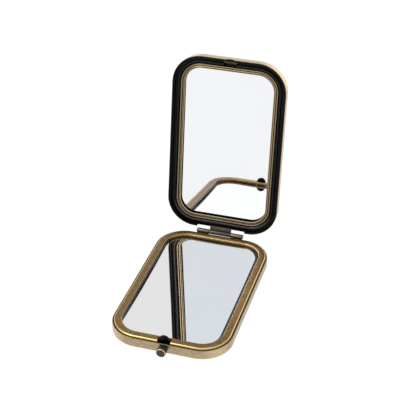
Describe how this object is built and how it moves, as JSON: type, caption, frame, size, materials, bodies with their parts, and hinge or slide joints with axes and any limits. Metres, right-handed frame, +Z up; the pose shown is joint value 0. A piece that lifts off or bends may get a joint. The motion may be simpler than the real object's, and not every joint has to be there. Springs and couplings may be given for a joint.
{
  "type": "folding mirror",
  "caption": "Folding pocket mirror: two rounded brass leaves, each holding a mirror, on a pinned hinge with a push-button hook latch",
  "frame": {"origin": "centre of the lower leaf's flat underside", "axes": "+Z up, +Y from the latch towards the hinge, +X to the right along the hinge"},
  "size_m": [0.06, 0.1198, 0.1016],
  "materials": {
    "shell": "brushed, antiqued",
    "bezel": "antiqued, polished on its shoulders",
    "frame": "antiqued, satin",
    "hinge": "dark antiqued, satin",
    "button": "dark antiqued, satin",
    "bronze": "blackened, satin",
    "black": "blackened, semi-gloss",
    "steel": "bright",
    "mirror": "silvered glass",
    "card": "plain grey board",
    "foam": "closed-cell foam pad"
  },
  "bodies": {
    "base": {"base_shell": "shell", "base_bezel": "bezel", "base_mirror": "mirror", "base_backing_card": "card", "base_foam_pad": "foam", "base_hinge_leaf": "hinge", "base_hinge_rivet_1": "hinge", "base_hinge_rivet_2": "hinge", "base_hinge_rivet_3": "hinge", "base_hinge_rivet_4": "hinge", "hinge_pin": "hinge", "latch_guide": "steel", "return_spring": "steel"},
    "lid": {"lid_shell": "shell", "lid_bezel": "black", "lid_mirror_frame": "frame", "lid_mirror": "mirror", "lid_backing_card": "card", "lid_hinge_leaf": "hinge", "lid_hinge_rivet_1": "hinge", "lid_hinge_rivet_2": "hinge", "lid_catch": "bronze"},
    "button": {"push_button": "button", "latch_lug": "black", "stem_retaining_clip": "steel"}
  },
  "joints": [
    {"name": "lid_hinge", "type": "hinge", "parent": "base", "child": "lid", "pos_m": [0, 0.04955, 0.00555], "axis": [1, 0, 0], "range_deg": [-82, 98]},
    {"name": "button_press", "type": "slide", "parent": "base", "child": "button", "axis": [0, 1, 0], "range_m": [0, 0.0008], "stiffness_N_per_m": 400, "springref_m": -0.002, "deforming": ["return_spring"]}
  ]
}
